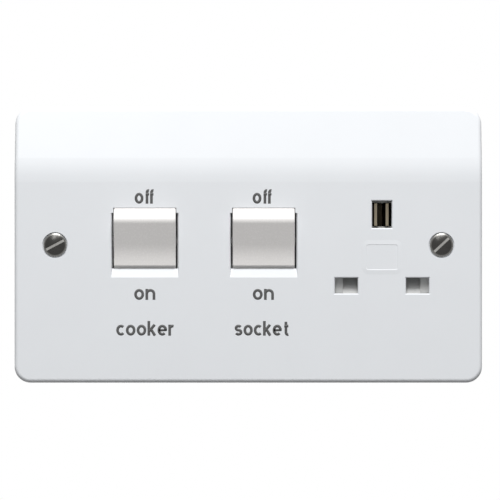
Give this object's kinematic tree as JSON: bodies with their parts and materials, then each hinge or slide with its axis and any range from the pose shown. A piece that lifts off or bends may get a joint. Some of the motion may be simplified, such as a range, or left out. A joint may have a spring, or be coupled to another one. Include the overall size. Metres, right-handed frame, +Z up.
{
  "type": "cooker control unit",
  "caption": "Wide white wall plate with a cooker rocker switch, a socket rocker switch and a shuttered pin socket; its top slopes back and slotted screws hold it to a wall box.",
  "frame": {"origin": "centre of the plate in the plane of the wall, midway between the wall screws", "axes": "+X to the right and +Z up as seen from the front, +Y back into the wall"},
  "size_m": [0.146, 0.0349, 0.086],
  "materials": {
    "plate": "glossy moulded white urea resin",
    "rocker": "glossy moulded white plastic",
    "nickel": "bright nickel plate",
    "plunger": "natural nylon",
    "spring_steel": "drawn spring wire",
    "brass": "pressed and milled, dull",
    "silver": "silver contact face",
    "zinc": "zinc plated",
    "shutter": "moulded light grey plastic",
    "base": "moulded heat-resistant plastic",
    "cover": "pressed insulating sheet"
  },
  "bodies": {
    "unit": {"front_plate": "plate", "fixing_screws": "nickel", "shutter_spring": "spring_steel", "cooker_neutral_feed": "brass", "cooker_live_feed": "brass", "socket_live_feed": "brass", "socket_neutral_feed": "brass", "cooker_neutral_fixed_contact": "brass", "cooker_live_fixed_contact": "brass", "socket_live_fixed_contact": "brass", "socket_neutral_fixed_contact": "brass", "live_feed_link": "brass", "neutral_feed_link": "brass", "socket_live_link": "brass", "socket_neutral_link": "brass", "earth_strap": "brass", "mains_neutral_terminal": "brass", "mains_live_terminal": "brass", "cooker_neutral_terminal": "brass", "cooker_live_terminal": "brass", "earth_terminal": "brass", "neutral_clip": "brass", "live_clip": "brass", "earth_clip": "brass", "fixed_tips": "silver", "terminal_screws": "zinc", "base_screws": "zinc", "rear_base": "base", "rear_cover": "cover"},
    "cooker_rocker": {"cooker_rocker": "rocker", "cooker_neutral_plunger": "plunger", "cooker_neutral_spring": "spring_steel", "cooker_live_plunger": "plunger", "cooker_live_spring": "spring_steel"},
    "socket_rocker": {"socket_rocker": "rocker", "socket_live_plunger": "plunger", "socket_live_spring": "spring_steel", "socket_neutral_plunger": "plunger", "socket_neutral_spring": "spring_steel"},
    "shutter": {"shutter": "shutter"},
    "cooker_neutral_bar": {"cooker_neutral_bar": "brass", "cooker_neutral_tip": "silver"},
    "cooker_live_bar": {"cooker_live_bar": "brass", "cooker_live_tip": "silver"},
    "socket_live_bar": {"socket_live_bar": "brass", "socket_live_tip": "silver"},
    "socket_neutral_bar": {"socket_neutral_bar": "brass", "socket_neutral_tip": "silver"}
  },
  "joints": [
    {"name": "cooker_rocker_hinge", "type": "hinge", "parent": "unit", "child": "cooker_rocker", "pos_m": [-0.0323, -0.0015, 0.00125], "axis": [1, 0, 0], "range_deg": [-15, 0]},
    {"name": "socket_rocker_hinge", "type": "hinge", "parent": "unit", "child": "socket_rocker", "pos_m": [0.0048, -0.0015, 0.00125], "axis": [1, 0, 0], "range_deg": [-15, 0]},
    {"name": "cooker_neutral_bar_hinge", "type": "hinge", "parent": "unit", "child": "cooker_neutral_bar", "pos_m": [-0.0378, 0.0089, 0.00125], "axis": [1, 0, 0], "range_deg": [0, 12]},
    {"name": "cooker_live_bar_hinge", "type": "hinge", "parent": "unit", "child": "cooker_live_bar", "pos_m": [-0.0268, 0.0089, 0.00125], "axis": [1, 0, 0], "range_deg": [0, 12]},
    {"name": "socket_live_bar_hinge", "type": "hinge", "parent": "unit", "child": "socket_live_bar", "pos_m": [-0.0007, 0.0089, 0.00125], "axis": [1, 0, 0], "range_deg": [0, 12]},
    {"name": "socket_neutral_bar_hinge", "type": "hinge", "parent": "unit", "child": "socket_neutral_bar", "pos_m": [0.0103, 0.0089, 0.00125], "axis": [1, 0, 0], "range_deg": [0, 12]},
    {"name": "shutter_slide", "type": "slide", "parent": "unit", "child": "shutter", "axis": [0, 0, -1], "range_m": [0, 0.006], "stiffness_N_per_m": 150, "springref_m": -0.003, "deforming": ["shutter_spring"]}
  ],
  "couplings": [
    {"joint": "cooker_neutral_bar_hinge", "follows": "cooker_rocker_hinge", "ratio": -0.8},
    {"joint": "cooker_live_bar_hinge", "follows": "cooker_rocker_hinge", "ratio": -0.8},
    {"joint": "socket_live_bar_hinge", "follows": "socket_rocker_hinge", "ratio": -0.8},
    {"joint": "socket_neutral_bar_hinge", "follows": "socket_rocker_hinge", "ratio": -0.8}
  ]
}
